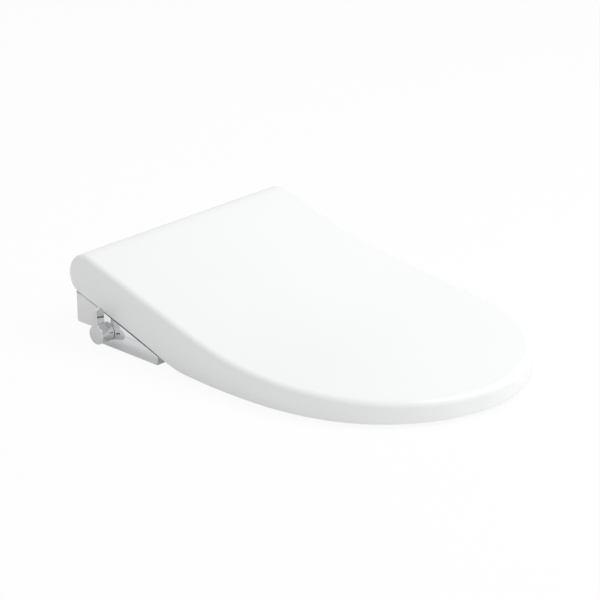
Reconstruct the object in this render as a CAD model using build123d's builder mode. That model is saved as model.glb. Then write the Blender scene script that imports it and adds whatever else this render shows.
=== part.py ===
"""Electric bidet seat: lid, seat and base with its hinge, water, wash and electric works.

Millimetres, +Z up, front towards -Y, the sitter's right hand towards -X.
The origin lies on the bowl's rim, midway between the two fixing bolts.
"""
from build123d import *
import math
import os

os.makedirs("parts", exist_ok=True)

# ---------------------------------------------------------------- lid sizes
TIP_Y = -470             # front end of the lid
TIP_Z = 30               # top of the lid at its tip
WIDE_Y = -215            # where the lid is widest
WIDE_HALF = 192.5        # half width there
REAR_HALF = WIDE_HALF - 10     # half width over the nose
NECK_Y = -20
NECK_HALF = WIDE_HALF - 9.3    # half width just ahead of the nose
SWELL_Y = -112                 # where the sides begin to swell
SWELL_HALF = WIDE_HALF - 7
PLAN_SIDE_POWER = 1.9    # roundness of the front outline, across and along
PLAN_FRONT_POWER = 2.6
PLAN_STEPS = 8
NOSE_Y = 38              # centre of the round nose
NOSE_Z = 80.5
NOSE_R = 28.5
NOSE_BACK = 0.5          # a point of the nose's arc, radians above the level of its centre
NOSE_END = 60            # the nose turns this far below that level, degrees
NOSE_SPARE = 15          # the sides run on this far behind the nose before they are cut
DEPTH = 50               # how far forms reach down before they are cut
TALL = 220               # taller than anything here
ROOF_SLOPE = 16.2        # fall of the roof just ahead of the nose, degrees
ROOF_POINTS = [(-342, 35), (-215, 44.5), (-112, 65.5), (-36, 87)]
LID_WALL = 3.5
LID_EDGE_R = 8           # rounding between roof and sides
RIM_LIFT = 12            # edges this far over the lower edge belong to the roof
SEAM_Y = 53              # a point of the lid's lower edge, at the rear
SEAM_Z = 62
SEAM_SLOPE = 0.327
SKIRT_Z = 5              # lower edge of the lid along its front part
SKIRT_BEND_R = 150
NOTCH_Y = 53             # the hinge notches open the nose behind this
CURVE_STEPS = 12

# -------------------------------------------------------------- hinge sizes
HINGE_Y = 45
HINGE_Z = 87
NOSE_SWEEP_R = 30.3      # room that the turning nose needs about the hinge
DAMPER_R = 8
DAMPER_WALL = 4
DAMPER_FIT = 0.03        # the damper is pressed into its bracket
SHAFT_R = 4
SHAFT_FLAT = 3           # half distance over the shaft's two flats
SHAFT_END_R = 3
SHAFT_SEAT = 15          # depth of the shaft in the lid's boss
BOSS_R = 11
LID_BOSS_IN = REAR_HALF - 23.5    # across the hinge, from the lid's side inwards
LID_BOSS_R = 10
ARM_OUT = LID_BOSS_IN - 1.5
ARM_IN = ARM_OUT - 18.5
BRACKET_OUT = ARM_IN - 0.7
BRACKET_IN = BRACKET_OUT - 18.8
DAMPER_IN = BRACKET_IN - 23.5
LEG_FRONT_Y = -24
LEG_BACK_Y = 12
LEG_TOP_Z = 78
LEG_POCKET = 14          # depth of the pocket in the leg's outer side
LEG_POCKET_H = 18
LEG_FLANGE = 4
LEG_SCREW_X = BRACKET_OUT - 7.3
LEG_SCREW_Y = (-14, 2)
LEG_SCREW_Z = 54         # floor of the leg's pocket, under the screw heads
LEG_SCREW_LEN = 20
LEG_SCREW_R = 1.7
LEG_HEAD_R = 3
LEG_HEAD_H = 2
NOTCH_GAP = 3
FIT = 0.08               # radial running clearance

# --------------------------------------------------------------- seat sizes
SEAT_GAP = 2.5           # air between the lid's wall and the seat
SEAT_BACK_Y = -97
SEAT_FLOOR_Z = 9
SEAT_TOP = [(-464, 22.5), (-342, 25.5), (-215, 32), (-140, 45), (SEAT_BACK_Y, 58)]
SEAT_WALL = 3
SEAT_EDGE_R = 6
SEAT_CORNER_R = 12
HOLE_HALF = 103
HOLE_WIDE_Y = -235
HOLE_REAR_Y = -137
HOLE_FRONT_Y = -400
ARM_ROOT_TOP = 59
ARM_ROOT_BOTTOM = 36
TUNNEL_HALF = 33         # way under the seat's rear bar for the nozzles
TUNNEL_Z = 19
TUNNEL_WALL = 2.5
BUFFER_R = 7
BUFFER_LEN = 36

# --------------------------------------------------------------- base sizes
BASE_REAR_Y = 56
BASE_FRONT_Y = -93
BASE_WALL = 3
CORE_HALF = BRACKET_IN - 1.5   # the middle housing, between the hinge brackets
CORE_FLOOR_Z = 1.5
WING_Z = 20              # underside of the overhanging wings
WING_CORNER_R = 8
WING_WALL = 5.3
POD_BACK_Y = 14          # where the deep side pods begin
POD_Z = 1.5
POD_LEAN = 1.5           # the pods' front leans back by this much
MARK_R = 2.2             # raised pointer beside the lever
MARK_H = 1.6
MARK_Y = -21
MARK_Z = 23
SIDE_STEP = 0.4          # the base stands this far inside the lid's side
SEAM_GAP = 1.5
PANEL_WALL = 2.5
PANEL_GAP = 0.1
COVER_GAP = 1            # between cover and hinge brackets, each side
ROOF_GAP = 4             # between cover and the lid's roof
COVER_EDGE_R = 6
MOUTH_Z = 30             # top of the opening for the nozzles
MOUTH_GAP = 1
POST_R = 5               # screw posts of the case
POST_SPOTS = [(side * (CORE_HALF - 10), y) for side in (-1, 1) for y in (-80, 30)]
CASE_SCREW_R = 1.5
CASE_HEAD_R = 3.2
CASE_HEAD_H = 2.6
CASE_RECESS = (3.4, 0.8, 1.4)
FOOT_R = 9
FOOT_SPOTS = [(side * (CORE_HALF - 10), y) for side in (-1, 1) for y in (-58, 5)]

# ------------------------------------------------------------ fixing sizes
PLATE_HALF_X = CORE_HALF - 20
PLATE_HALF_Y = 38
PLATE_T = 5
RAIL_Z = 9
RAIL_W = 14
BOLT_X = 70
BOLT_SLOT = 26
BOLT_R = 4.25
RECESS_GAP = 0.5
RECESS_FRONT_Y = -46
BUTTON_Y = -20
BUTTON_Z = 5.5
BUTTON_T = 3.5           # tongue that reaches the plate's catch
BUTTON_W = 16
BUTTON_FACE_X = NECK_HALF + 0.8
BUTTON_CAP_IN = BUTTON_FACE_X - 12
BUTTON_CAP_H = 9
BUTTON_TRAVEL = 4
BUTTON_GAP = 0.4

# -------------------------------------------------------------- wash sizes
JET_ANGLE = 25
JET_EXIT_Z = 10
JET_X = 12
TUBE_R = 9
WAND_R = 6
WAND_GAP = 0.3
TUBE_LEN = 112
WAND_LEN = 103
PORT_BORE_R = 1.5
JET_R = 0.7
JET_STEP = 3
JET_FIRST = 6            # first jet's distance from the wand's mouth plane
SEAL_AT = 6
SEAL_T = 2
GUARD_T = 2.5
GUARD_HALF = 31

# ------------------------------------------------------------- lever sizes
LEVER_Y = -4
LEVER_Z = 22
KNOB_R = 12.2
KNOB_LEN = 19
KNOB_GAP = 0.5
KNOB_EDGE_R = 0.8
FIN_TOP = 35             # tip of the fin over the lever's axis
FIN_W = 5.4
FIN_TIP_W = 4.2
FIN_DEPTH = 12
FIN_PEAK = 7             # the fin is highest this far in from its outer face
FIN_OUT_DROP = 3
FIN_IN_DROP = 5
SPINDLE_R = 4
VALVE_R = 10
VALVE_OUT = NECK_HALF - 10.2
VALVE_IN = VALVE_OUT - 33
VALVE_NECK_R = 6

# ------------------------------------------------- water and electric sizes
INLET_X = CORE_HALF + 32
INLET_Y = 30
INLET_R = 10.3           # half inch pipe thread, outside
INLET_NECK_R = 8
GLAND_X = 75
GLAND_Z = 32
GLAND_R = 7
INLET_BORE_R = 5.5
INLET_LEN = 13           # of the thread
INLET_HEX_H = 4
TANK = (36, 88, -66, -10)      # plan of the heater tank: x from, x to, y from, y to
TANK_TOP_Z = 46
COIL_X = 41
COIL_Y = 28
COIL_Z = 34              # top of the solenoid valve's body
BREAKER_X = 78
BREAKER_Y = 8
BREAKER_R = 9
BREAKER_H = 30
PORT_R = 3
BOARD = (18 - CORE_HALF, -38, -64, 20)   # plan of the board
BOARD_Z = 22
BOARD_T = 1.6
BOARD_POST_IN = 5

UP = (0, 0, 1)
LEFT = (1, 0, 0)          # the sitter's left


def save(part, name):
    """Label one finished piece and write it."""
    part.label = name
    export_step(part, f"parts/{name}.step")


def seam_z(y):
    """Height of the lid's lower edge over the base at y."""
    return SEAM_Z - SEAM_SLOPE * (SEAM_Y - y)


def part_z(y):
    """Height of the base's sloping top edge at y."""
    return seam_z(y) - SEAM_GAP


def shifted_curve(points, tangents, shift):
    """A smooth curve through the points, moved `shift` to the right of its own heading."""
    curve = Spline(*points, tangents=tangents, mode=Mode.PRIVATE)
    if not shift:
        return curve
    moved = []
    for step in range(CURVE_STEPS + 1):
        heading = curve.tangent_at(step / CURVE_STEPS)
        moved.append(curve.position_at(step / CURVE_STEPS) + Vector(heading.Y, -heading.X) * shift)
    return Spline(*moved, tangents=[curve.tangent_at(0), curve.tangent_at(1)], mode=Mode.PRIVATE)


def plan_face(inset, rear_y, corner_r=0):
    """Plan of the lid, `inset` inside its outline and cut off straight at rear_y."""
    reach = WIDE_Y - TIP_Y
    back = NOSE_Y + NOSE_R + NOSE_SPARE
    sides = [(REAR_HALF, back), (SWELL_HALF, SWELL_Y), (WIDE_HALF, WIDE_Y)]
    front = [(WIDE_HALF, WIDE_Y)]
    for step in range(1, PLAN_STEPS):
        turn = math.pi / 2 * step / PLAN_STEPS
        half = WIDE_HALF * math.cos(turn) ** (2 / PLAN_SIDE_POWER)
        front.append((half, WIDE_Y - reach * math.sin(turn) ** (2 / PLAN_FRONT_POWER)))
    front.append((0, TIP_Y))
    with BuildSketch() as plan:
        with BuildLine():
            add(shifted_curve(sides, [(0, -1), (0, -1)], inset))
            add(shifted_curve(front, [(0, -1), (-1, 0)], inset))
            mirror(about=Plane.YZ)
            Line((REAR_HALF - inset, back), (inset - REAR_HALF, back))
        make_face()
        with Locations((0, rear_y)):
            Rectangle(3 * WIDE_HALF, 200, align=(Align.CENTER, Align.MIN), mode=Mode.SUBTRACT)
        if corner_r > 0:
            fillet(plan.vertices().group_by(Axis.Y)[-1], corner_r)
    return plan.sketch


def profile_face(inset):
    """Side view (Y to the right, Z up) of the lid's form, reaching well below its lower edge."""
    slope = math.radians(ROOF_SLOPE)
    nose_top = (NOSE_Y - NOSE_R * math.sin(slope), NOSE_Z + NOSE_R * math.cos(slope))
    nose_back = (NOSE_Y + (NOSE_R - inset) * math.cos(NOSE_BACK),
                 NOSE_Z + (NOSE_R - inset) * math.sin(NOSE_BACK))
    turn = math.radians(NOSE_END)
    end_y = NOSE_Y + (NOSE_R - inset) * math.cos(turn)
    end_z = NOSE_Z - (NOSE_R - inset) * math.sin(turn)
    front_y = TIP_Y - 5
    with BuildSketch() as side:
        with BuildLine():
            roof = shifted_curve([(TIP_Y, TIP_Z), *ROOF_POINTS, nose_top],
                                 [(1, 0.03), (math.cos(slope), math.sin(slope))], inset)
            add(roof)
            ThreePointArc(roof @ 1, nose_back, (end_y, end_z))
            Polyline((end_y, end_z), (end_y - (end_z + DEPTH) * math.tan(turn), -DEPTH), (front_y, -DEPTH),
                     (front_y, (roof @ 0).Y), roof @ 0)
        make_face()
    return side.sketch


def lid_block(inset, rounding):
    """The lid's form as a solid without its lower edge, `inset` inside its outer skin."""
    with BuildPart() as block:
        with BuildSketch(Plane.XY.offset(-DEPTH - 10)):
            add(plan_face(inset, NOSE_Y + NOSE_R + 4))
        extrude(amount=TALL, dir=UP)
        with BuildSketch(Plane.YZ.offset(-WIDE_HALF - 10)):
            add(profile_face(inset))
        extrude(amount=2 * WIDE_HALF + 20, dir=LEFT, mode=Mode.INTERSECT)
        rim = [edge for edge in block.edges() if edge.geom_type != GeomType.LINE
               and edge.center().Z > max(seam_z(edge.center().Y), SKIRT_Z) + RIM_LIFT]
        fillet(rim, rounding)
    return block.part


def under_skirt():
    """Everything below the lid's lower edge."""
    bend_y = SEAM_Y - (SEAM_Z - SKIRT_Z) / SEAM_SLOPE
    rear_y, front_y = SEAM_Y + 40, TIP_Y - 20
    with BuildPart() as room:
        with BuildSketch(Plane.YZ.offset(-WIDE_HALF - 10)):
            with BuildLine():
                FilletPolyline((rear_y, seam_z(rear_y)), (bend_y, SKIRT_Z), (front_y, SKIRT_Z),
                               radius=SKIRT_BEND_R)
                Polyline((front_y, SKIRT_Z), (front_y, -2 * DEPTH), (rear_y, -2 * DEPTH),
                         (rear_y, seam_z(rear_y)))
            make_face()
        extrude(amount=2 * WIDE_HALF + 20, dir=LEFT)
    return room.part


def x_cylinder(x_from, x_to, y, z, radius):
    """A round bar or bore along X."""
    with BuildPart() as bar:
        with BuildSketch(Plane.YZ.offset(x_from)):
            with Locations((y, z)):
                Circle(radius)
        extrude(amount=x_to - x_from)
    return bar.part


def box_between(x_from, x_to, y_from, y_to, z_from, z_to):
    """A plain block between two corners."""
    with BuildPart() as block:
        with Locations(((x_from + x_to) / 2, (y_from + y_to) / 2, (z_from + z_to) / 2)):
            Box(abs(x_to - x_from), abs(y_to - y_from), abs(z_to - z_from))
    return block.part


# ------------------------------------------------------------------- lid
NOTCH_IN = BRACKET_IN - NOTCH_GAP
NOTCH_OUT = ARM_OUT + 1
with BuildPart() as lid:
    add(lid_block(0, LID_EDGE_R))
    add(lid_block(LID_WALL, LID_EDGE_R - LID_WALL), mode=Mode.SUBTRACT)
    add(under_skirt(), mode=Mode.SUBTRACT)
    for side in (-1, 1):
        # notch in the nose for the hinge bracket and the seat's arm
        add(box_between(side * NOTCH_IN, side * NOTCH_OUT, NOTCH_Y, 100, 0, 130), mode=Mode.SUBTRACT)
        # boss on the side wall for the end of the hinge shaft
        add(x_cylinder(side * LID_BOSS_IN, side * (REAR_HALF - LID_WALL + 1), HINGE_Y, HINGE_Z, LID_BOSS_R))
    add(x_cylinder(-LID_BOSS_IN, -LID_BOSS_IN - SHAFT_SEAT, HINGE_Y, HINGE_Z, SHAFT_END_R + FIT),
        mode=Mode.SUBTRACT)
    with BuildSketch(Plane.YZ.offset(LID_BOSS_IN)):
        with Locations((HINGE_Y, HINGE_Z)):
            Circle(SHAFT_R + FIT / 2)
            Rectangle(3 * SHAFT_R, 2 * SHAFT_FLAT + FIT, mode=Mode.INTERSECT)
    extrude(amount=SHAFT_SEAT, mode=Mode.SUBTRACT)
save(lid.part, "lid")

with BuildPart() as lid_buffers:
    for x, y, top in ((WIDE_HALF - 42.5, WIDE_Y, SEAT_TOP[2][1] + 1), (62, -440, SEAT_TOP[0][1] + 1)):
        with BuildSketch(Plane.XY.offset(top + 0.4)):
            with Locations((-x, y), (x, y)):
                Circle(BUFFER_R)
        extrude(amount=30)
    add(lid_block(LID_WALL + 0.05, LID_EDGE_R - LID_WALL), mode=Mode.INTERSECT)
save(lid_buffers.part, "lid_buffers")


# ------------------------------------------------------------------ seat
def seat_block(margin, rounding, floor_z):
    """The seat ring as a solid, `margin` inside its skin, down to floor_z."""
    hole_half = HOLE_HALF + margin
    hole_rear = HOLE_REAR_Y + margin - HOLE_WIDE_Y
    hole_front = HOLE_WIDE_Y - HOLE_FRONT_Y + margin
    with BuildPart() as ring:
        with BuildSketch(Plane.XY.offset(floor_z)):
            add(plan_face(LID_WALL + SEAT_GAP + margin, SEAT_BACK_Y - margin, SEAT_CORNER_R - margin))
            with BuildLine():
                EllipticalCenterArc((0, HOLE_WIDE_Y), hole_half, hole_rear, start_angle=0, arc_size=180)
                EllipticalCenterArc((0, HOLE_WIDE_Y), hole_half, hole_front, start_angle=180, arc_size=180)
            make_face(mode=Mode.SUBTRACT)
        extrude(amount=100, dir=UP)
        with BuildSketch(Plane.YZ.offset(-WIDE_HALF)):
            with BuildLine():
                top = [(y, z - margin) for y, z in SEAT_TOP]
                low = floor_z - 20
                Spline(*top, tangents=[(1, 0.01), (1, 0.3)])
                Polyline(top[-1], (SEAT_BACK_Y + 20, top[-1][1] + 6), (SEAT_BACK_Y + 20, low), (TIP_Y, low),
                         (TIP_Y, top[0][1]), top[0])
            make_face()
        extrude(amount=2 * WIDE_HALF, dir=LEFT, mode=Mode.INTERSECT)
        if rounding:
            crown = [edge for edge in ring.edges() if edge.geom_type != GeomType.LINE
                     and edge.center().Z > floor_z + 5]
            fillet(crown, rounding)
    return ring.part


def tunnel(spare):
    """Way under the seat's rear bar for the nozzles."""
    return box_between(-TUNNEL_HALF - spare, TUNNEL_HALF + spare, SEAT_BACK_Y + 1, SEAT_BACK_Y - 60,
                       -10, TUNNEL_Z + spare)


with BuildPart() as tunnel_lining:
    add(seat_block(0.5, 0, SEAT_FLOOR_Z))
    add(tunnel(TUNNEL_WALL), mode=Mode.INTERSECT)
with BuildPart() as seat_top:
    add(seat_block(0, SEAT_EDGE_R, SEAT_FLOOR_Z))
    add(seat_block(SEAT_WALL, 0, SEAT_FLOOR_Z - 5), mode=Mode.SUBTRACT)
    for side in (-1, 1):
        with BuildSketch(Plane.YZ.offset(side * ARM_IN)):
            with BuildLine():
                Polyline((HINGE_Y, HINGE_Z + BOSS_R), (SEAT_BACK_Y, ARM_ROOT_TOP),
                         (SEAT_BACK_Y - SEAT_WALL, ARM_ROOT_TOP - 4),
                         (SEAT_BACK_Y - SEAT_WALL, ARM_ROOT_BOTTOM),
                         (SEAT_BACK_Y, ARM_ROOT_BOTTOM), (HINGE_Y, HINGE_Z - BOSS_R), close=True)
            make_face()
            with Locations((HINGE_Y, HINGE_Z)):
                Circle(BOSS_R)
        extrude(amount=side * (ARM_OUT - ARM_IN))
    with BuildSketch(Plane.YZ.offset(-ARM_IN + 1)):
        with Locations((HINGE_Y, HINGE_Z)):
            Circle(SHAFT_R + FIT / 2)
            Rectangle(3 * SHAFT_R, 2 * SHAFT_FLAT + FIT, mode=Mode.INTERSECT)
    extrude(amount=-30, mode=Mode.SUBTRACT)
    add(x_cylinder(ARM_IN - 1, ARM_OUT + 1, HINGE_Y, HINGE_Z, SHAFT_R + FIT), mode=Mode.SUBTRACT)
    add(tunnel_lining.part)
    add(tunnel(0), mode=Mode.SUBTRACT)
save(seat_top.part, "seat_top_shell")

with BuildPart() as seat_bottom:
    add(seat_block(SEAT_WALL + 0.2, 0, SEAT_FLOOR_Z))
    add(box_between(-300, 300, -600, 100, SEAT_FLOOR_Z + SEAT_WALL, 200), mode=Mode.SUBTRACT)
    add(tunnel(TUNNEL_WALL + 0.3), mode=Mode.SUBTRACT)
save(seat_bottom.part, "seat_bottom_shell")

with BuildPart() as seat_foil:
    add(seat_block(SEAT_WALL + 0.1, 0, SEAT_FLOOR_Z + SEAT_WALL + 2))
    add(seat_block(SEAT_WALL + 0.9, 0, SEAT_FLOOR_Z - 4), mode=Mode.SUBTRACT)
    add(tunnel(TUNNEL_WALL + 1), mode=Mode.SUBTRACT)
save(seat_foil.part, "seat_heating_foil")

with BuildPart() as seat_buffers:
    with BuildSketch():
        with Locations((-128, -170), (128, -170)):
            SlotOverall(BUFFER_LEN, 2 * BUFFER_R, rotation=90)
        with Locations((-88, -412), (88, -412)):
            SlotOverall(BUFFER_LEN, 2 * BUFFER_R)
    extrude(amount=SEAT_FLOOR_Z)
    fillet(seat_buffers.edges().group_by(Axis.Z)[0], 2)
save(seat_buffers.part, "seat_buffers")


# ----------------------------------------------------------------- hinge
def hinge_shaft(side, flat_from, flat_to, end_from):
    """A damper's shaft: round in the damper, flat where it drives, thin at its end."""
    tail = LID_BOSS_IN + SHAFT_SEAT - 1
    with BuildPart() as shaft:
        add(x_cylinder(side * (DAMPER_IN + 6), side * end_from, HINGE_Y, HINGE_Z, SHAFT_R))
        with BuildSketch(Plane.YZ.offset(side * flat_from)):
            with Locations((HINGE_Y, HINGE_Z)):
                Rectangle(4 * SHAFT_R, 4 * SHAFT_R)
                Rectangle(4 * SHAFT_R, 2 * SHAFT_FLAT, mode=Mode.SUBTRACT)
        extrude(amount=side * (flat_to - flat_from), mode=Mode.SUBTRACT)
        if end_from < tail:
            add(x_cylinder(side * end_from, side * tail, HINGE_Y, HINGE_Z, SHAFT_END_R))
    return shaft.part


shaft_tail = LID_BOSS_IN + SHAFT_SEAT - 1
save(hinge_shaft(-1, ARM_IN, ARM_OUT + 0.6, ARM_OUT + 0.6), "seat_damper_shaft")
save(hinge_shaft(1, LID_BOSS_IN - 0.4, shaft_tail, shaft_tail), "lid_damper_shaft")

for name, side in (("seat_damper", -1), ("lid_damper", 1)):
    with BuildPart() as damper:
        add(x_cylinder(side * DAMPER_IN, side * BRACKET_OUT, HINGE_Y, HINGE_Z, DAMPER_R))
        add(x_cylinder(side * (DAMPER_IN + DAMPER_WALL), side * ARM_OUT, HINGE_Y, HINGE_Z, SHAFT_R + FIT),
            mode=Mode.SUBTRACT)
        inner_end = damper.edges().sort_by(Axis.X)[0 if side > 0 else -1]
        fillet(inner_end, 1.5)
    save(damper.part, name)


def leg_screws(side, radius, head_radius):
    """The two screws that hold one hinge bracket down, standing in its pocket."""
    with BuildPart() as screws:
        for y in LEG_SCREW_Y:
            with BuildSketch(Plane.XY.offset(LEG_SCREW_Z - LEG_SCREW_LEN)):
                with Locations((side * LEG_SCREW_X, y)):
                    Circle(radius)
            extrude(amount=LEG_SCREW_LEN)
            with BuildSketch(Plane.XY.offset(LEG_SCREW_Z)):
                with Locations((side * LEG_SCREW_X, y)):
                    Circle(head_radius)
            extrude(amount=LEG_HEAD_H)
    return screws.part


for name, side in (("hinge_bracket_right", -1), ("hinge_bracket_left", 1)):
    with BuildPart() as bracket:
        with BuildSketch(Plane.YZ.offset(side * BRACKET_IN)):
            with BuildLine():
                Polyline((HINGE_Y, HINGE_Z + BOSS_R), (LEG_FRONT_Y, LEG_TOP_Z),
                         (LEG_FRONT_Y, part_z(LEG_FRONT_Y)),
                         (LEG_BACK_Y, part_z(LEG_BACK_Y)), (LEG_BACK_Y, HINGE_Z - DAMPER_R),
                         (HINGE_Y, HINGE_Z - DAMPER_R), close=True)
            make_face()
            with Locations((HINGE_Y, HINGE_Z)):
                Circle(BOSS_R)
        extrude(amount=side * (BRACKET_OUT - BRACKET_IN))
        add(x_cylinder(side * (BRACKET_IN - 1), side * ARM_OUT, HINGE_Y, HINGE_Z, DAMPER_R + DAMPER_FIT),
            mode=Mode.SUBTRACT)
        # pocket between the leg's flanges, open to the outside
        with BuildSketch(Plane.YZ.offset(side * BRACKET_OUT)):
            with Locations(((LEG_FRONT_Y + LEG_BACK_Y) / 2, LEG_SCREW_Z + LEG_POCKET_H / 2)):
                RectangleRounded(LEG_BACK_Y - LEG_FRONT_Y - 2 * LEG_FLANGE, LEG_POCKET_H, 3)
        extrude(amount=-side * LEG_POCKET, mode=Mode.SUBTRACT)
        add(leg_screws(side, LEG_SCREW_R + 0.1, LEG_HEAD_R + 5), mode=Mode.SUBTRACT)
    save(bracket.part, name)

with BuildPart() as leg_screw_set:
    for side in (-1, 1):
        add(leg_screws(side, LEG_SCREW_R, LEG_HEAD_R))
save(leg_screw_set.part, "bracket_screws")


# ------------------------------------------------------------------ base
def wing_block(inset, low_corner=True):
    """Wings and pods as one block over the base's whole width, `inset` inside its skin."""
    with BuildPart() as block:
        half_step = SIDE_STEP + inset
        with BuildSketch(Plane.XY.offset(-5)) as plan:
            with BuildLine():
                ThreePointArc((REAR_HALF - half_step, BASE_REAR_Y - inset), (NECK_HALF - half_step, NECK_Y),
                              (SWELL_HALF - half_step, SWELL_Y))
                mirror(about=Plane.YZ)
                Line((half_step - REAR_HALF, BASE_REAR_Y - inset),
                     (REAR_HALF - half_step, BASE_REAR_Y - inset))
                Line((half_step - SWELL_HALF, SWELL_Y), (SWELL_HALF - half_step, SWELL_Y))
            make_face()
            if WING_CORNER_R > inset:
                fillet(plan.vertices().group_by(Axis.Y)[-1], WING_CORNER_R - inset)
        extrude(amount=100, dir=UP)
        rear, front, step = BASE_REAR_Y - inset, BASE_FRONT_Y + inset, POD_BACK_Y - inset
        drop = SEAM_GAP + inset * math.hypot(1, SEAM_SLOPE)
        wing_low, pod_low = WING_Z + inset, POD_Z + inset
        with BuildSketch(Plane.YZ.offset(-WIDE_HALF)) as side:
            with BuildLine():
                Polyline((rear, wing_low), (rear, seam_z(rear) - drop), (front, seam_z(front) - drop),
                         (front + POD_LEAN, pod_low), (step, pod_low), (step, wing_low), close=True)
            make_face()
            if low_corner and WING_CORNER_R > inset:
                fillet(side.vertices().sort_by_distance(Vector(rear, wing_low))[0], WING_CORNER_R - inset)
        extrude(amount=2 * WIDE_HALF, dir=LEFT, mode=Mode.INTERSECT)
    return block.part


def core_profile(wall, open_top=False):
    """Side view of the middle housing's lower part, `wall` inside its skin."""
    rear, front = BASE_REAR_Y - wall, BASE_FRONT_Y + wall
    rise = 60 if open_top else 0
    with BuildSketch() as side:
        with BuildLine():
            Polyline((rear, CORE_FLOOR_Z + wall), (rear, part_z(rear) + rise), (front, part_z(front) + rise),
                     (front, CORE_FLOOR_Z + wall), close=True)
        make_face()
    return side.sketch


def nozzle_plane(x, distance=0):
    """Plane across one nozzle, `distance` back from the mouth along the nozzle."""
    turn = math.radians(JET_ANGLE)
    back = Vector(0, math.cos(turn), math.sin(turn))
    return Plane(origin=Vector(x, BASE_FRONT_Y, JET_EXIT_Z) + back * distance, x_dir=(1, 0, 0), z_dir=back)


def button_room(x_from, x_to, height):
    """Opening that the release button slides in."""
    half = BUTTON_W / 2 + BUTTON_GAP
    return box_between(x_from, x_to, BUTTON_Y - half, BUTTON_Y + half, BUTTON_Z - BUTTON_GAP,
                       BUTTON_Z + height + BUTTON_GAP)


nose_sweep = x_cylinder(-WIDE_HALF, WIDE_HALF, HINGE_Y, HINGE_Z, NOSE_SWEEP_R)

with BuildPart() as lower_case:
    add(wing_block(0))
    # ahead of the wings the side panels cover the case
    for side in (-1, 1):
        add(box_between(side * CORE_HALF, side * WIDE_HALF, POD_BACK_Y, -200, -20, 100), mode=Mode.SUBTRACT)
    add(wing_block(PANEL_WALL + PANEL_GAP))
    with BuildSketch(Plane.YZ):
        add(core_profile(0))
    extrude(amount=CORE_HALF, both=True)
    # hollow: wings and pods closed above, the middle open to the cover
    add(wing_block(WING_WALL, low_corner=False), mode=Mode.SUBTRACT)
    with BuildSketch(Plane.YZ):
        add(core_profile(BASE_WALL, open_top=True))
    extrude(amount=CORE_HALF - BASE_WALL, both=True, mode=Mode.SUBTRACT)
    # room for the mounting plate under a raised floor
    ceiling = RAIL_Z + RECESS_GAP
    side_in = PLATE_HALF_X + RECESS_GAP
    add(box_between(-side_in - BASE_WALL, side_in + BASE_WALL, RECESS_FRONT_Y - BASE_WALL, BASE_REAR_Y - 1,
                    CORE_FLOOR_Z, ceiling + BASE_WALL))
    add(box_between(-side_in, side_in, RECESS_FRONT_Y, BASE_REAR_Y + 5, -5, ceiling), mode=Mode.SUBTRACT)
    add(nose_sweep, mode=Mode.SUBTRACT)
    # mouth for the nozzles
    add(box_between(-GUARD_HALF - MOUTH_GAP, GUARD_HALF + MOUTH_GAP, BASE_FRONT_Y - 2, BASE_FRONT_Y + 16,
                    -5, 60), mode=Mode.SUBTRACT)
    # screw posts
    for x, y in POST_SPOTS:
        with BuildSketch(Plane.XY.offset(CORE_FLOOR_Z)):
            with Locations((x, y)):
                Circle(POST_R)
        extrude(amount=part_z(y - POST_R) - CORE_FLOOR_Z)
        with BuildSketch(Plane.XY):
            with Locations((x, y)):
                Circle(CASE_SCREW_R + 0.2)
        extrude(amount=100, mode=Mode.SUBTRACT)
        with BuildSketch(Plane.XY):
            with Locations((x, y)):
                Circle(CASE_HEAD_R + 0.4)
        extrude(amount=CORE_FLOOR_Z + 3, mode=Mode.SUBTRACT)
    # pilot holes for the screws of the hinge brackets
    for side in (-1, 1):
        add(leg_screws(side, LEG_SCREW_R, LEG_SCREW_R), mode=Mode.SUBTRACT)
    # lever side: the valve's neck passes the wall; water side: the inlet's neck passes the wing's floor
    add(x_cylinder(-VALVE_OUT, -WIDE_HALF, LEVER_Y, LEVER_Z, VALVE_NECK_R + 0.2), mode=Mode.SUBTRACT)
    with BuildSketch(Plane.XY):
        with Locations((INLET_X, INLET_Y)):
            Circle(INLET_NECK_R + 0.2)
    extrude(amount=30, mode=Mode.SUBTRACT)
    # cable gland hole in the rear wall and slot for the release button
    with BuildSketch(Plane.XZ.offset(-BASE_REAR_Y - 5)):
        with Locations((GLAND_X, GLAND_Z)):
            Circle(GLAND_R + 0.2)
    extrude(amount=12, mode=Mode.SUBTRACT)
    add(button_room(side_in - 1, WIDE_HALF, BUTTON_T), mode=Mode.SUBTRACT)
    add(button_room(BUTTON_CAP_IN - BUTTON_TRAVEL - 0.5, WIDE_HALF, BUTTON_CAP_H), mode=Mode.SUBTRACT)
save(lower_case.part, "lower_case")

for name, side in (("side_panel_right", -1), ("side_panel_left", 1)):
    with BuildPart() as panel:
        add(wing_block(0))
        add(wing_block(PANEL_WALL), mode=Mode.SUBTRACT)
        add(box_between(side * (CORE_HALF + 2), side * WIDE_HALF, POD_BACK_Y - PANEL_GAP, -200, -20, 100),
            mode=Mode.INTERSECT)
        if side < 0:
            add(x_cylinder(-VALVE_OUT, -WIDE_HALF, LEVER_Y, LEVER_Z, VALVE_NECK_R + 0.2), mode=Mode.SUBTRACT)
            with BuildSketch(Plane.YZ.offset(-NECK_HALF + 1)):
                with Locations((MARK_Y, MARK_Z)):
                    RegularPolygon(MARK_R, 3, rotation=-90)
            extrude(amount=-MARK_H)
        else:
            add(button_room(BUTTON_CAP_IN, WIDE_HALF, BUTTON_CAP_H), mode=Mode.SUBTRACT)
        add(leg_screws(side, LEG_SCREW_R + 0.1, LEG_SCREW_R + 0.1), mode=Mode.SUBTRACT)
    save(panel.part, name)


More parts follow.
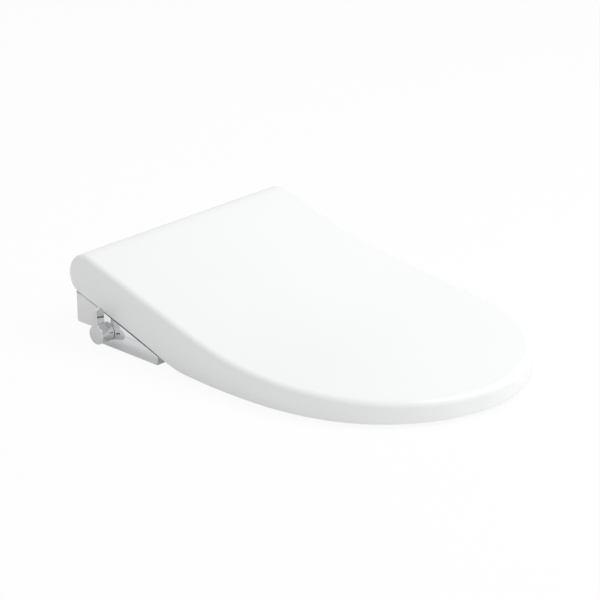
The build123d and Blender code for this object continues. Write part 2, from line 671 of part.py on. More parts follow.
def cover_block(wall):
    """The middle housing's upper part as a solid, `wall` inside its skin."""
    with BuildPart() as block:
        with BuildSketch(Plane.YZ) as side:
            add(profile_face(LID_WALL + ROOF_GAP + wall))
            with BuildLine():
                Polyline((BASE_REAR_Y, 30), (BASE_REAR_Y, 85), (0, 85), (BASE_FRONT_Y, 50),
                         (BASE_FRONT_Y, -20), (BASE_REAR_Y, 30))
            make_face()
            with BuildLine():
                low = 60 if wall else 0
                Polyline((BASE_REAR_Y, part_z(BASE_REAR_Y) - low), (BASE_REAR_Y, 130),
                         (BASE_FRONT_Y + wall, 130),
                         (BASE_FRONT_Y + wall, part_z(BASE_FRONT_Y + wall) - low), close=True)
            make_face(mode=Mode.INTERSECT)
        extrude(amount=CORE_HALF - COVER_GAP - wall, both=True)
        add(x_cylinder(-WIDE_HALF, WIDE_HALF, HINGE_Y, HINGE_Z, NOSE_SWEEP_R + wall), mode=Mode.SUBTRACT)
        if not wall:
            roof = block.edges().filter_by(GeomType.LINE, reverse=True).group_by(Axis.X)
            fillet(roof[0].sort_by(Axis.Z)[-1:] + roof[-1].sort_by(Axis.Z)[-1:], COVER_EDGE_R)
    return block.part


with BuildPart() as cover_posts:
    for x, y in POST_SPOTS:
        with BuildSketch(Plane.XY.offset(part_z(y) - 3)):
            with Locations((x, y)):
                Circle(POST_R)
        extrude(amount=100)
    add(cover_block(0), mode=Mode.INTERSECT)
with BuildPart() as top_cover:
    add(cover_block(0))
    add(cover_block(BASE_WALL), mode=Mode.SUBTRACT)
    add(box_between(-GUARD_HALF - MOUTH_GAP, GUARD_HALF + MOUTH_GAP, BASE_FRONT_Y - 2, BASE_FRONT_Y + 16,
                    -5, MOUTH_Z), mode=Mode.SUBTRACT)
    # screw posts, hanging from the roof to meet those of the lower case
    add(cover_posts.part)
    for x, y in POST_SPOTS:
        with BuildSketch(Plane.XY.offset(part_z(y) - 8)):
            with Locations((x, y)):
                Circle(CASE_SCREW_R + 0.05)
        extrude(amount=18, mode=Mode.SUBTRACT)
save(top_cover.part, "top_cover")

recess_len, recess_w, recess_depth = CASE_RECESS
with BuildPart() as case_screws:
    for x, y in POST_SPOTS:
        with BuildSketch(Plane.XY.offset(CORE_FLOOR_Z + 0.4)):
            with Locations((x, y)):
                Circle(CASE_HEAD_R)
        extrude(amount=CASE_HEAD_H)
        with BuildSketch(Plane.XY.offset(CORE_FLOOR_Z + 3)):
            with Locations((x, y)):
                Circle(CASE_SCREW_R)
        extrude(amount=part_z(y) - CORE_FLOOR_Z + 2)
        with BuildSketch(Plane.XY.offset(CORE_FLOOR_Z + 0.4)):
            with Locations((x, y)):
                Rectangle(recess_len, recess_w)
                Rectangle(recess_w, recess_len)
        extrude(amount=recess_depth, mode=Mode.SUBTRACT)
save(case_screws.part, "case_screws")

with BuildPart() as feet:
    with BuildSketch():
        with Locations(*FOOT_SPOTS):
            Circle(FOOT_R)
    extrude(amount=CORE_FLOOR_Z)
save(feet.part, "rubber_feet")


# ---------------------------------------------------------------- fixing
with BuildPart() as plate:
    with BuildSketch():
        RectangleRounded(2 * PLATE_HALF_X, 2 * PLATE_HALF_Y, 6)
    extrude(amount=PLATE_T)
    for side in (-1, 1):
        add(box_between(side * PLATE_HALF_X, side * (PLATE_HALF_X - RAIL_W),
                        -PLATE_HALF_Y + 6, PLATE_HALF_Y - 6, 0, RAIL_Z))
    with BuildSketch():
        with Locations((-BOLT_X, 0), (BOLT_X, 0)):
            SlotOverall(BOLT_SLOT, 2 * BOLT_R)
        with Locations((0, 0)):
            RectangleRounded(80, 44, 8)
    extrude(amount=PLATE_T, mode=Mode.SUBTRACT)
    # catch for the release button's tongue
    add(button_room(PLATE_HALF_X - 12, PLATE_HALF_X + 1, RAIL_Z), mode=Mode.SUBTRACT)
save(plate.part, "mounting_plate")

with BuildPart() as button:
    add(box_between(BUTTON_CAP_IN, BUTTON_FACE_X, BUTTON_Y - BUTTON_W / 2, BUTTON_Y + BUTTON_W / 2,
                    BUTTON_Z, BUTTON_Z + BUTTON_CAP_H))
    fillet(button.edges().group_by(Axis.X)[-1], 1)
    add(box_between(PLATE_HALF_X - 5, BUTTON_CAP_IN, BUTTON_Y - BUTTON_W / 2, BUTTON_Y + BUTTON_W / 2,
                    BUTTON_Z, BUTTON_Z + BUTTON_T))
save(button.part, "release_button")


# ----------------------------------------------------------------- wash
with BuildPart() as nozzle_housing:
    for x in (-JET_X, JET_X):
        with BuildSketch(nozzle_plane(x)):
            Circle(TUBE_R)
        extrude(amount=TUBE_LEN)
    with BuildSketch(nozzle_plane(0)):
        Rectangle(2 * JET_X, 4)
    extrude(amount=TUBE_LEN)
    # foot that stands on the raised floor
    foot_y = 0
    foot_z = JET_EXIT_Z + math.tan(math.radians(JET_ANGLE)) * (foot_y - BASE_FRONT_Y)
    add(box_between(-JET_X - 4, JET_X + 4, foot_y - 4, foot_y + 4, ceiling + BASE_WALL, foot_z - 2))
    for x in (-JET_X, JET_X):
        with BuildSketch(nozzle_plane(x, -5)):
            Circle(WAND_R + WAND_GAP)
        extrude(amount=TUBE_LEN + 1, mode=Mode.SUBTRACT)
        with BuildSketch(nozzle_plane(x, -5)):
            Circle(TUBE_R - 1.4)
        extrude(amount=5 + SEAL_AT + SEAL_T, mode=Mode.SUBTRACT)
        # water port at the closed end
        with BuildSketch(nozzle_plane(x, TUBE_LEN - 5)):
            Circle(PORT_BORE_R)
        extrude(amount=20, mode=Mode.SUBTRACT)
    # the mouth end is trimmed level with the guard's back
    add(box_between(-40, 40, BASE_FRONT_Y - 40, BASE_FRONT_Y + 0.6, -40, 60), mode=Mode.SUBTRACT)
save(nozzle_housing.part, "nozzle_housing")

for name, x, jets in (("rear_wash_nozzle", -JET_X, 3), ("front_wash_nozzle", JET_X, 2)):
    with BuildPart() as wand:
        with BuildSketch(nozzle_plane(x, -1)):
            Circle(WAND_R)
        extrude(amount=WAND_LEN)
        # piston at the back fills the cylinder, rounded tip at the front
        fillet(wand.edges().sort_by(Axis.Y)[0], 2.5)
        turn = math.radians(JET_ANGLE)
        up = Vector(0, -math.sin(turn), math.cos(turn))
        for step in range(jets):
            spot = nozzle_plane(x, JET_FIRST + JET_STEP * step).origin + up * (WAND_R + 1)
            with BuildSketch(Plane(origin=spot, x_dir=(1, 0, 0), z_dir=up)):
                Circle(JET_R)
            extrude(amount=-4, mode=Mode.SUBTRACT)
    save(wand.part, name)

with BuildPart() as wipers:
    for x in (-JET_X, JET_X):
        with BuildSketch(nozzle_plane(x, SEAL_AT)):
            Circle(TUBE_R - 1.5)
            Circle(WAND_R + 0.1, mode=Mode.SUBTRACT)
        extrude(amount=SEAL_T)
save(wipers.part, "wiper_seals")

with BuildPart() as guard:
    add(box_between(-GUARD_HALF, GUARD_HALF, BASE_FRONT_Y - GUARD_T, BASE_FRONT_Y + 0.4,
                    CORE_FLOOR_Z, MOUTH_Z - 0.5))
    fillet(guard.edges().filter_by(Axis.Y), 4)
    for x in (-JET_X, JET_X):
        with BuildSketch(nozzle_plane(x, -12)):
            Circle(WAND_R + WAND_GAP)
        extrude(amount=30, mode=Mode.SUBTRACT)
save(guard.part, "nozzle_guard")

# ------------------------------------------------------------ lever and valve
base_side_x = NECK_HALF - SIDE_STEP
knob_in = base_side_x + KNOB_GAP
knob_out = knob_in + KNOB_LEN
with BuildPart() as knob:
    with BuildSketch(Plane.YZ.offset(-knob_in)) as disc:
        with Locations((LEVER_Y, LEVER_Z)):
            Circle(KNOB_R)
    extrude(amount=-KNOB_LEN)
    with BuildSketch(Plane.YZ.offset(-knob_out)) as face:
        with Locations((LEVER_Y, LEVER_Z)):
            Circle(KNOB_R)
            Polygon((-FIN_W / 2, 0), (FIN_W / 2, 0), (FIN_TIP_W / 2, FIN_TOP), (-FIN_TIP_W / 2, FIN_TOP),
                    align=None)
        inner = face.vertices().filter_by(lambda v: abs(v.Y - LEVER_Z) < KNOB_R and v.Y > LEVER_Z + 2)
        fillet(inner, 6)
    extrude(amount=FIN_DEPTH)
    # the fin's end slopes to both sides
    tip = LEVER_Z + FIN_TOP
    with BuildSketch(Plane.XZ.offset(-LEVER_Y - FIN_W)):
        with BuildLine():
            Polyline((-knob_out, tip - FIN_OUT_DROP), (-knob_out + FIN_PEAK, tip),
                     (-knob_out + FIN_DEPTH, tip - FIN_IN_DROP), (-knob_out + FIN_DEPTH, tip + 5),
                     (-knob_out, tip + 5), close=True)
        make_face()
    extrude(amount=2 * FIN_W, mode=Mode.SUBTRACT)
    fillet(knob.edges().group_by(Axis.X)[0], KNOB_EDGE_R)
    add(x_cylinder(-knob_in + 1, -knob_in - 14, LEVER_Y, LEVER_Z, SPINDLE_R + 0.03), mode=Mode.SUBTRACT)
save(knob.part, "lever_knob")

save(x_cylinder(-VALVE_IN - 8, -knob_in - 13, LEVER_Y, LEVER_Z, SPINDLE_R), "valve_spindle")

with BuildPart() as valve:
    add(x_cylinder(-VALVE_IN, -VALVE_OUT, LEVER_Y, LEVER_Z, VALVE_R))
    add(x_cylinder(-VALVE_OUT, -base_side_x + 0.6, LEVER_Y, LEVER_Z, VALVE_NECK_R))
    add(x_cylinder(-VALVE_IN - 5, -WIDE_HALF - 7.5, LEVER_Y, LEVER_Z, SPINDLE_R + FIT), mode=Mode.SUBTRACT)
    # inlet and two outlets
    for y, z in ((LEVER_Y + 6, LEVER_Z + 4), (LEVER_Y - 6, LEVER_Z + 4), (LEVER_Y, LEVER_Z - 7)):
        add(x_cylinder(-VALVE_IN + 9, -VALVE_IN, y, z, 3))
save(valve.part, "control_valve")

with BuildPart() as knob_seal:
    add(x_cylinder(-base_side_x - 0.1, -base_side_x + 0.5, LEVER_Y, LEVER_Z, VALVE_NECK_R))
    add(x_cylinder(-base_side_x - 5, -base_side_x + 5, LEVER_Y, LEVER_Z, SPINDLE_R + FIT), mode=Mode.SUBTRACT)
save(knob_seal.part, "spindle_seal")

# ------------------------------------------------------------- water supply
with BuildPart() as inlet:
    with BuildSketch(Plane.XY.offset(WING_Z)):
        with Locations((INLET_X, INLET_Y)):
            RegularPolygon(INLET_R + 2.5, 6)
    extrude(amount=-INLET_HEX_H)
    with BuildSketch(Plane.XY.offset(WING_Z - INLET_HEX_H)):
        with Locations((INLET_X, INLET_Y)):
            Circle(INLET_R)
    extrude(amount=-INLET_LEN)
    with BuildSketch(Plane.XY.offset(WING_Z)):
        with Locations((INLET_X, INLET_Y)):
            Circle(INLET_NECK_R)
    extrude(amount=WING_WALL + 12)
    with BuildSketch(Plane.XY):
        with Locations((INLET_X, INLET_Y)):
            Circle(INLET_BORE_R)
    extrude(amount=WING_Z + WING_WALL + 8, mode=Mode.SUBTRACT)
save(inlet.part, "water_inlet")

with BuildPart() as strainer:
    with BuildSketch(Plane.XY.offset(WING_Z - 14)):
        with Locations((INLET_X, INLET_Y)):
            Circle(INLET_BORE_R - 0.1)
            Circle(INLET_BORE_R - 1.1, mode=Mode.SUBTRACT)
    extrude(amount=14)
    with BuildSketch(Plane.XY.offset(WING_Z)):
        with Locations((INLET_X, INLET_Y)):
            Circle(INLET_BORE_R - 0.1)
    extrude(amount=1)
save(strainer.part, "inlet_strainer")

with BuildPart() as solenoid:
    add(box_between(COIL_X - 13, COIL_X + 13, COIL_Y - 14, COIL_Y + 14, ceiling + BASE_WALL, COIL_Z))
    fillet(solenoid.edges().filter_by(Axis.Z), 3)
    with BuildSketch(Plane.XY.offset(COIL_Z)):
        with Locations((COIL_X, COIL_Y)):
            Circle(8)
    extrude(amount=12)
    add(x_cylinder(COIL_X + 13, COIL_X + 21, COIL_Y + 6, 22, PORT_R))
save(solenoid.part, "solenoid_valve")

with BuildPart() as heater:
    add(box_between(*TANK, ceiling + BASE_WALL, TANK_TOP_Z))
    fillet(heater.edges().filter_by(Axis.Z), 8)
    fillet(heater.edges().group_by(Axis.Z)[-1], 4)
    for y in (TANK[2] + 10, TANK[3] - 10):
        add(x_cylinder(TANK[1], TANK[1] + 10, y, 30, PORT_R))
save(heater.part, "water_heater")

with BuildPart() as breaker:
    with BuildSketch(Plane.XY.offset(ceiling + BASE_WALL)):
        with Locations((BREAKER_X, BREAKER_Y)):
            Circle(BREAKER_R)
    extrude(amount=BREAKER_H)
    with BuildSketch(Plane.XY.offset(ceiling + BASE_WALL + BREAKER_H)):
        with Locations((BREAKER_X, BREAKER_Y)):
            Circle(BREAKER_R - 3)
    extrude(amount=8)
save(breaker.part, "vacuum_breaker")

# ---------------------------------------------------------------- electrics
with BuildPart() as board:
    add(box_between(*BOARD, BOARD_Z, BOARD_Z + BOARD_T))
    for x in (BOARD[0] + BOARD_POST_IN, BOARD[1] - BOARD_POST_IN):
        for y in (BOARD[2] + BOARD_POST_IN, BOARD[3] - BOARD_POST_IN):
            with BuildSketch(Plane.XY.offset(ceiling + BASE_WALL)):
                with Locations((x, y)):
                    Circle(3)
            extrude(amount=BOARD_Z - ceiling - BASE_WALL)
save(board.part, "control_board")

with BuildPart() as gland:
    with BuildSketch(Plane.XZ.offset(-BASE_REAR_Y)):
        with Locations((GLAND_X, GLAND_Z)):
            Circle(GLAND_R + 3)
    extrude(amount=-6)
    with BuildSketch(Plane.XZ.offset(-BASE_REAR_Y)):
        with Locations((GLAND_X, GLAND_Z)):
            Circle(GLAND_R)
    extrude(amount=9)
    with BuildSketch(Plane.XZ.offset(-BASE_REAR_Y - 10)):
        with Locations((GLAND_X, GLAND_Z)):
            Circle(3.6)
    extrude(amount=30, mode=Mode.SUBTRACT)
save(gland.part, "power_inlet")
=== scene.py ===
"""Electric bidet seat: surfaces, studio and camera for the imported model."""
import math

import bpy
from mathutils import Matrix, Vector


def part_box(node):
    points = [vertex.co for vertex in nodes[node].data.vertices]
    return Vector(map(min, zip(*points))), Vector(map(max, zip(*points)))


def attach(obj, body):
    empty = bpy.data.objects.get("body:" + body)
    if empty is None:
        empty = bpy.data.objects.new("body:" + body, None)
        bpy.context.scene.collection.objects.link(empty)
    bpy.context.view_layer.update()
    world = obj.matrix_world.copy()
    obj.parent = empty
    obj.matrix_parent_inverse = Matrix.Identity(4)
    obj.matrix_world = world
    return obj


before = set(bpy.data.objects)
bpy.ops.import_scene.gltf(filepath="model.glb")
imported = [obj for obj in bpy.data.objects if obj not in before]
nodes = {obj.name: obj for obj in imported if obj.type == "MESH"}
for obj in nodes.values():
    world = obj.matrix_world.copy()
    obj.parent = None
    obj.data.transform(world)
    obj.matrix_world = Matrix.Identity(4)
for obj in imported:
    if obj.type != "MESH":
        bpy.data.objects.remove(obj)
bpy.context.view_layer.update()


# ---- Camera -----------------------------------------------------------------
# A long lens a little above the seat, off its front right-hand corner.
lens = bpy.data.cameras.new("studio_camera")
lens.lens = 122.1
lens.sensor_width = 36.0
lens.clip_end = 20.0
camera = bpy.data.objects.new("studio_camera", lens)
bpy.context.collection.objects.link(camera)
camera_right = Vector((0.6657, -0.7462, 0.0)).normalized()
camera_back = Vector((-0.6930, -0.6183, 0.3709)).normalized()
camera_up = camera_back.cross(camera_right)
turn = Matrix((camera_right, camera_up, camera_back)).transposed().to_4x4()
camera.matrix_world = Matrix.Translation((-1.7466, -1.7154, 0.9835)) @ turn
bpy.context.scene.camera = camera
bpy.context.scene.view_settings.view_transform = "Standard"


# ---- Studio floor -----------------------------------------------------------
# A white paper sweep: it reads as plain white and takes only a faint shadow.
def linear(code):
    """An sRGB hex colour as linear RGBA."""
    values = [int(code[place:place + 2], 16) / 255 for place in (1, 3, 5)]
    return [v / 12.92 if v <= 0.04045 else ((v + 0.055) / 1.055) ** 2.4 for v in values] + [1.0]


def add_node(tree, kind, inputs=None, **settings):
    """Adds a node to a material; inputs hold values or the sockets to link from."""
    made = tree.nodes.new(kind)
    for name, value in settings.items():
        setattr(made, name, value)
    for name, value in (inputs or {}).items():
        if isinstance(value, bpy.types.NodeSocket):
            tree.links.new(value, made.inputs[name])
        else:
            made.inputs[name].default_value = value
    return made


def empty_material(name):
    """A material with a bare output node, and its tree."""
    material = bpy.data.materials.new(name)
    material.use_nodes = True
    material.node_tree.nodes.clear()
    return material, material.node_tree


bpy.ops.object.select_all(action="DESELECT")
bpy.ops.mesh.primitive_plane_add(size=30.0, location=(0.0, 0.0, -0.0006))
studio_floor = bpy.context.object
studio_floor.name = "studio_floor"
floor_seen = 0.93        # how far the floor glows by itself where it is looked at
floor_mirrored = 0.25    # and where the chrome mirrors it
floor_material, tree = empty_material("studio_paper_white")
light_path = add_node(tree, "ShaderNodeLightPath")
direct = add_node(tree, "ShaderNodeMath", {0: light_path.outputs["Is Camera Ray"],
                                           1: light_path.outputs["Is Transmission Ray"]}, operation="MAXIMUM")
direct = add_node(tree, "ShaderNodeMath", {0: direct.outputs[0], 1: floor_seen}, operation="MULTIPLY")
mirrored = add_node(tree, "ShaderNodeMath", {0: light_path.outputs["Is Glossy Ray"], 1: floor_mirrored},
                    operation="MULTIPLY")
share = add_node(tree, "ShaderNodeMath", {0: direct.outputs[0], 1: mirrored.outputs[0]}, operation="MAXIMUM")
paper = add_node(tree, "ShaderNodeBsdfDiffuse", {"Color": linear("#F4F4F4")})
glow = add_node(tree, "ShaderNodeEmission", {"Color": linear("#FFFFFF"), "Strength": 1.0})
mixed = add_node(tree, "ShaderNodeMixShader", {0: share.outputs[0], 1: paper.outputs[0], 2: glow.outputs[0]})
add_node(tree, "ShaderNodeOutputMaterial", {"Surface": mixed.outputs[0]})
studio_floor.data.materials.append(floor_material)


# ---- Studio light -----------------------------------------------------------
# White walls all round, a large soft lamp over the front left-hand side.
world = bpy.data.worlds.new("studio_walls")
bpy.context.scene.world = world
world.use_nodes = True
tree = world.node_tree
tree.nodes.clear()
light_path = add_node(tree, "ShaderNodeLightPath")
seen = add_node(tree, "ShaderNodeMath", {0: light_path.outputs["Is Camera Ray"],
                                         1: light_path.outputs["Is Glossy Ray"]}, operation="MAXIMUM")
seen = add_node(tree, "ShaderNodeMath", {0: seen.outputs[0],
                                         1: light_path.outputs["Is Transmission Ray"]}, operation="MAXIMUM")
walls_as_light = 0.65
walls_as_seen = 1.0
strength = add_node(tree, "ShaderNodeMapRange", {0: seen.outputs[0], 3: walls_as_light, 4: walls_as_seen})
walls = add_node(tree, "ShaderNodeBackground", {"Color": linear("#FFFFFF"), "Strength": strength.outputs[0]})
add_node(tree, "ShaderNodeOutputWorld", {"Surface": walls.outputs[0]})

lamp = bpy.data.lights.new("soft_key", "AREA")
lamp.shape = "DISK"
lamp.size = 1.6
lamp.energy = 31.0
key = bpy.data.objects.new("soft_key", lamp)
bpy.context.collection.objects.link(key)
key_place = Vector((0.9, -1.5, 2.0))
key_aim = Vector((0.0, -0.2, 0.0))
key.matrix_world = (Matrix.Translation(key_place)
                    @ (key_aim - key_place).to_track_quat("-Z", "Y").to_matrix().to_4x4())


# ---- Lid --------------------------------------------------------------------
# One thick shell that wraps over the seat and the hinges. Gloss white
# polypropylene from a polished mould, which leaves a slightly uneven gloss.
def moulded_plastic(name, colour, roughness, grain_mm, relief_mm, speckle=0.01, edge_mm=0.6):
    """Injection moulded plastic: an even colour, a fine skin, softened edges, a little uneven gloss."""
    material, tree = empty_material(name)
    place = add_node(tree, "ShaderNodeTexCoord")
    drift = add_node(tree, "ShaderNodeTexNoise", {"Vector": place.outputs["Object"],
                                                  "Scale": 9.0, "Detail": 3.0})
    light = linear(colour)
    dark = [channel * (1.0 - speckle * 2.0) for channel in light[:3]] + [1.0]
    tone = add_node(tree, "ShaderNodeMix", {0: drift.outputs[0], 6: dark, 7: light}, data_type="RGBA")
    sheen = add_node(tree, "ShaderNodeMapRange", {0: drift.outputs[0], 1: 0.3, 2: 0.7,
                                                  3: roughness * 0.88, 4: roughness * 1.12})
    edge = add_node(tree, "ShaderNodeBevel", {"Radius": edge_mm / 1000.0}, samples=4)
    grain = add_node(tree, "ShaderNodeTexNoise", {"Vector": place.outputs["Object"],
                                                  "Scale": 1000.0 / grain_mm, "Detail": 2.0})
    skin = add_node(tree, "ShaderNodeBump", {"Height": grain.outputs[0], "Strength": 0.35,
                                             "Distance": relief_mm / 1000.0, "Normal": edge.outputs[0]})
    shell = add_node(tree, "ShaderNodeBsdfPrincipled", {
        "Base Color": tone.outputs[2], "Roughness": sheen.outputs[0], "IOR": 1.49, "Normal": skin.outputs[0]})
    add_node(tree, "ShaderNodeOutputMaterial", {"Surface": shell.outputs[0]})
    return material


def coat(material, *names):
    """Gives CAD nodes a material."""
    for name in names:
        mesh = nodes[name].data
        if not mesh.materials:
            mesh.materials.append(material)
        for place in range(len(mesh.materials)):
            mesh.materials[place] = material


# Polished polypropylene: clean soft highlights, 2.5 mm ripples too faint to count.
white_polypropylene = moulded_plastic("gloss_moulded_polypropylene_white", "#F5F6F6", 0.24, 2.5, 0.01)
coat(white_polypropylene, "lid")

# Thermoplastic elastomer from a textured mould: matt, pale grey, faintly mottled.
pale_rubber = moulded_plastic("moulded_elastomer_pale_grey", "#D6D7D6", 0.62, 0.7, 0.06)
coat(pale_rubber, "lid_buffers")


# ---- Seat -------------------------------------------------------------------
# Two polypropylene shells round a heating film: the upper one polished, the
# lower one satin. It stands on four elastomer buffers.
coat(white_polypropylene, "seat_top_shell")
# Spark-eroded mould: an even 0.9 mm satin texture that spreads the highlights.
satin_polypropylene = moulded_plastic("satin_moulded_polypropylene_white", "#EEEFEE", 0.45, 0.9, 0.03)
coat(satin_polypropylene, "seat_bottom_shell")
coat(pale_rubber, "seat_buffers")
# Polyester film with a printed heating layer: smooth, amber, slightly cloudy.
heating_film = moulded_plastic("polyester_heating_film_amber", "#C98A4A", 0.35, 3.0, 0.03)
coat(heating_film, "seat_heating_foil")


# ---- Seat screws ------------------------------------------------------------
# Eight pan-head screws hold the lower shell of the seat to the upper one.
# Zinc-plated steel, headed with a cross recess.
def deselect():
    """Nothing is selected and nothing is in edit mode."""
    if bpy.context.object and bpy.context.object.mode != "OBJECT":
        bpy.ops.object.mode_set(mode="OBJECT")
    bpy.ops.object.select_all(action="DESELECT")


def finish(piece, name, material, body, smooth_degrees=35.0):
    """Names a piece, gives it its material, puts its place in its mesh and lets it ride on a body."""
    deselect()
    piece.select_set(True)
    bpy.context.view_layer.objects.active = piece
    bpy.ops.object.transform_apply(location=True, rotation=True, scale=True)
    bpy.ops.object.shade_smooth_by_angle(angle=math.radians(smooth_degrees))
    piece.name = name
    piece.data.name = name
    piece.data.materials.clear()
    piece.data.materials.append(material)
    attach(piece, body)


def keep_modifiers(piece):
    """Applies every modifier of a piece in order."""
    deselect()
    piece.select_set(True)
    bpy.context.view_layer.objects.active = piece
    for modifier in list(piece.modifiers):
        bpy.ops.object.modifier_apply(modifier=modifier.name)


CROWN_LOW = -0.012      # a crowned panel is highest midway between these two heights
CROWN_HIGH = 0.028


def bright_metal(name, colour, roughness, wave_mm, relief_mm, edge_mm=0.2, crown_mm=0.0):
    """Plated or turned metal with a slightly wavy skin, softened edges and, on a panel, a crown."""
    material, tree = empty_material(name)
    place = add_node(tree, "ShaderNodeTexCoord")
    wave = add_node(tree, "ShaderNodeTexNoise", {"Vector": place.outputs["Object"],
                                                 "Scale": 1000.0 / wave_mm, "Detail": 2.0})
    haze = add_node(tree, "ShaderNodeMapRange", {0: wave.outputs[0], 1: 0.3, 2: 0.7,
                                                 3: roughness * 0.8, 4: roughness * 1.3})
    edge = add_node(tree, "ShaderNodeBevel", {"Radius": edge_mm / 1000.0}, samples=4)
    height = add_node(tree, "ShaderNodeSeparateXYZ", {0: place.outputs["Object"]})
    across = add_node(tree, "ShaderNodeMapRange", {0: height.outputs[2], 1: CROWN_LOW, 2: CROWN_HIGH,
                                                   3: -1.0, 4: 1.0}, clamp=False)
    bulge = add_node(tree, "ShaderNodeMath", {0: across.outputs[0], 1: across.outputs[0]},
                     operation="MULTIPLY")
    crown = add_node(tree, "ShaderNodeBump", {"Height": bulge.outputs[0], "Strength": 1.0,
                                              "Distance": crown_mm / 1000.0, "Normal": edge.outputs[0]},
                     invert=True)
    skin = add_node(tree, "ShaderNodeBump", {"Height": wave.outputs[0], "Strength": 0.3,
                                             "Distance": relief_mm / 1000.0, "Normal": crown.outputs[0]})
    shell = add_node(tree, "ShaderNodeBsdfPrincipled", {
        "Base Color": linear(colour), "Metallic": 1.0, "Roughness": haze.outputs[0],
        "Normal": skin.outputs[0]})
    add_node(tree, "ShaderNodeOutputMaterial", {"Surface": shell.outputs[0]})
    return material


# Zinc plating: a soft grey metal shine, hazy over 0.6 mm.
plated_screw_steel = bright_metal("zinc_plated_steel", "#BFC2C4", 0.32, 0.6, 0.02)
head_radius = 0.0035
head_height = 0.0016
recess_width = 0.0008
seat_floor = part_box("seat_bottom_shell")[0][2]
head_sunk = 0.0001
deselect()
bpy.ops.mesh.primitive_cylinder_add(vertices=32, radius=head_radius, depth=head_height,
                                    location=(0.0, 0.0, seat_floor - head_height / 2 + head_sunk))
screw_head = bpy.context.object
rounding = screw_head.modifiers.new("rounding", "BEVEL")
rounding.width = 0.0007
rounding.segments = 3
rounding.limit_method = "ANGLE"
keep_modifiers(screw_head)
deselect()
bpy.ops.mesh.primitive_cube_add(size=1.0, location=(0.0, 0.0, seat_floor - head_height))
recess = bpy.context.object
recess.scale = (head_radius * 1.2, recess_width, head_height)
bpy.ops.object.mode_set(mode="EDIT")
bpy.ops.mesh.duplicate()
bpy.ops.transform.rotate(value=math.radians(90), orient_axis="Z", center_override=(0.0, 0.0, 0.0))
bpy.ops.object.mode_set(mode="OBJECT")
deselect()
recess.select_set(True)
bpy.context.view_layer.objects.active = recess
bpy.ops.object.transform_apply(location=True, rotation=True, scale=True)
carve = screw_head.modifiers.new("recess", "BOOLEAN")
carve.operation = "DIFFERENCE"
carve.use_self = True
carve.object = recess
keep_modifiers(screw_head)
bpy.data.objects.remove(recess)
screw_spots = [(side * x, y) for x, y in ((0.140, -0.230), (0.125, -0.335), (0.040, -0.432), (0.075, -0.117))
               for side in (-1, 1)]
heads = [screw_head]
for _ in screw_spots[1:]:
    copy = screw_head.copy()
    copy.data = screw_head.data.copy()
    bpy.context.collection.objects.link(copy)
    heads.append(copy)
for number, (head, (x, y)) in enumerate(zip(heads, screw_spots)):
    head.location += Vector((x, y, 0.0))
    finish(head, f"seat_screw_{number + 1}", plated_screw_steel, "seat")


# ---- Base case --------------------------------------------------------------
# The white housing that carries everything: semi-gloss ABS. Case, cover, left
# side, nozzle guard and hinge brackets are moulded from the same material.
case_abs = moulded_plastic("semi_gloss_moulded_abs_white", "#F0F1F0", 0.34, 1.6, 0.015)
coat(case_abs, "lower_case", "top_cover", "side_panel_left", "nozzle_guard", "hinge_bracket_right",
     "hinge_bracket_left")
coat(pale_rubber, "rubber_feet")
# Turned stainless steel: fine bright turning lines, spread by a 0.8 mm haze.
turned_steel = bright_metal("turned_stainless_steel", "#B9BBBC", 0.28, 0.8, 0.02)
coat(turned_steel, "seat_damper_shaft", "lid_damper_shaft", "case_screws", "bracket_screws", "inlet_strainer")
# Glass-filled nylon: dull black with a broken surface.
black_nylon = moulded_plastic("matt_moulded_nylon_black", "#1F2022", 0.5, 0.8, 0.05)
coat(black_nylon, "seat_damper", "lid_damper", "power_inlet", "solenoid_valve")


# ---- Chrome side and lever --------------------------------------------------
# ABS mouldings plated with bright chromium over nickel: a mirror with the
# long slow waves of the moulding under it.
plated_chrome = bright_metal("bright_plated_chrome", "#CFD0D1", 0.1, 14.0, 0.05, edge_mm=0.5)
coat(plated_chrome, "lever_knob")
# The side panel's copy of the chrome is painted lighter than the lever's, a painted brighter reflection over
# the same plating.
panel_chrome_painted_lighter = bright_metal("bright_plated_chrome_crowned_painted_lighter", "#DFE0E1", 0.12, 14.0, 0.05, edge_mm=0.5,
                            crown_mm=3.5)
coat(panel_chrome_painted_lighter, "side_panel_right")


# ---- Lever index mark -------------------------------------------------------
# The raised pointer beside the lever, filled with black lacquer, which dries
# glossy and slightly domed.
index_lacquer = moulded_plastic("glossy_lacquer_black", "#26272A", 0.2, 3.0, 0.01, edge_mm=0.1)
mark_radius = 0.0022
mark_depth = 0.0003
mark_proud = 0.00012
mark_y = -0.0225
mark_z = 0.0235
index_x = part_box("side_panel_right")[0][0]
deselect()
bpy.ops.mesh.primitive_cylinder_add(vertices=3, radius=mark_radius, depth=mark_depth,
                                    rotation=(0.0, math.pi / 2, 0.0),
                                    location=(index_x - mark_proud, mark_y, mark_z))
index_mark = bpy.context.object
dome = index_mark.modifiers.new("dome", "BEVEL")
dome.width = 0.0001
dome.segments = 2
keep_modifiers(index_mark)
finish(index_mark, "lever_index_mark", index_lacquer, "base")


# ---- Mounting plate and release button --------------------------------------
# Grey acetal: tough, waxy and satin. The plate stays on the bowl and the
# button lets the base slide off it.
grey_acetal = moulded_plastic("satin_moulded_acetal_grey", "#B4B6B8", 0.42, 1.0, 0.03)
coat(grey_acetal, "mounting_plate", "release_button")


# ---- Wash nozzles -----------------------------------------------------------
# Two polished white acetal wands slide in a grey housing, through black
# rubber wipers.
coat(grey_acetal, "nozzle_housing")
nozzle_acetal = moulded_plastic("polished_moulded_acetal_white", "#F6F7F7", 0.2, 2.0, 0.01, edge_mm=0.2)
coat(nozzle_acetal, "rear_wash_nozzle", "front_wash_nozzle")
# Moulded nitrile rubber: deep black, matt, a fine 0.7 mm grain.
black_rubber = moulded_plastic("moulded_rubber_black", "#191919", 0.6, 0.7, 0.06)
coat(black_rubber, "wiper_seals", "spindle_seal")


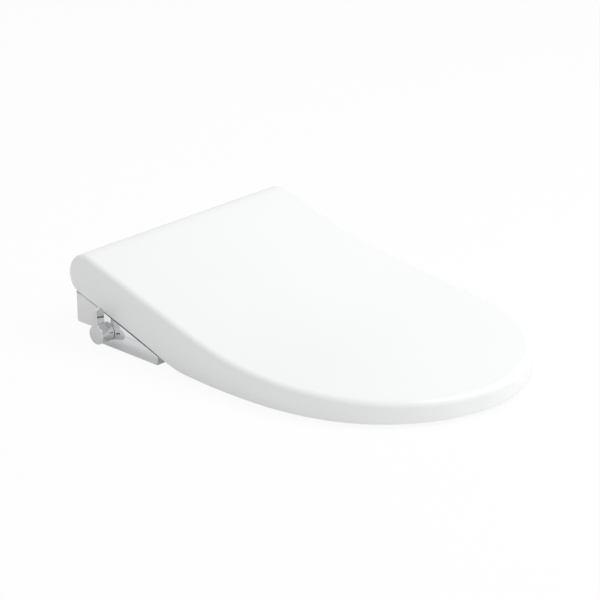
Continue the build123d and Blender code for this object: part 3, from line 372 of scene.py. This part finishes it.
# ---- Water works ------------------------------------------------------------
# Brass inlet, acetal valve bodies and a nylon heater tank.
coat(grey_acetal, "control_valve", "vacuum_breaker")
# Turned brass: warm yellow with a soft machined haze.
turned_brass = bright_metal("turned_brass", "#D0B070", 0.25, 0.8, 0.02)
coat(turned_brass, "water_inlet", "valve_spindle")
# Natural nylon: cream, waxy, faintly translucent to the eye.
natural_nylon = moulded_plastic("matt_moulded_nylon_natural", "#DCD4BC", 0.5, 0.9, 0.04)
coat(natural_nylon, "water_heater")


# ---- Inlet thread -----------------------------------------------------------
# The half-inch pipe thread cut on the brass inlet: one ridge wound round the
# stub at 14 turns to the inch.
thread_pitch = 0.001814
thread_radius = 0.0103
thread_turns = 5
thread_above_end = 0.0016
inlet_low, inlet_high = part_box("water_inlet")
inlet_x = (inlet_low[0] + inlet_high[0]) / 2
inlet_y = (inlet_low[1] + inlet_high[1]) / 2
thread_start = (inlet_x, inlet_y, inlet_low[2] + thread_above_end)
deselect()
bpy.ops.mesh.primitive_circle_add(vertices=3, radius=thread_pitch * 0.5, fill_type="NGON",
                                  rotation=(math.pi / 2, 0.0, 0.0), location=thread_start)
thread = bpy.context.object
bpy.ops.object.transform_apply(location=False, rotation=True, scale=True)
bpy.ops.object.mode_set(mode="EDIT")
bpy.ops.mesh.select_all(action="SELECT")
bpy.ops.transform.rotate(value=math.radians(90), orient_axis="Y", center_override=thread_start)
bpy.ops.transform.translate(value=(thread_radius, 0.0, 0.0))
bpy.ops.mesh.delete(type="ONLY_FACE")
bpy.ops.object.mode_set(mode="OBJECT")
wind = thread.modifiers.new("wind", "SCREW")
wind.axis = "Z"
wind.screw_offset = thread_pitch
wind.iterations = thread_turns
wind.steps = 48
wind.render_steps = 48
keep_modifiers(thread)
bpy.ops.object.mode_set(mode="EDIT")
bpy.ops.mesh.select_all(action="SELECT")
bpy.ops.mesh.fill_holes(sides=3)
bpy.ops.mesh.normals_make_consistent(inside=False)
bpy.ops.object.mode_set(mode="OBJECT")
finish(thread, "inlet_thread", turned_brass, "base")


# ---- Control board ----------------------------------------------------------
# Green glass laminate under clear lacquer, screwed down inside the base.
board_laminate = moulded_plastic("glass_laminate_board_green", "#1F6B3C", 0.35, 0.9, 0.03)
coat(board_laminate, "control_board")
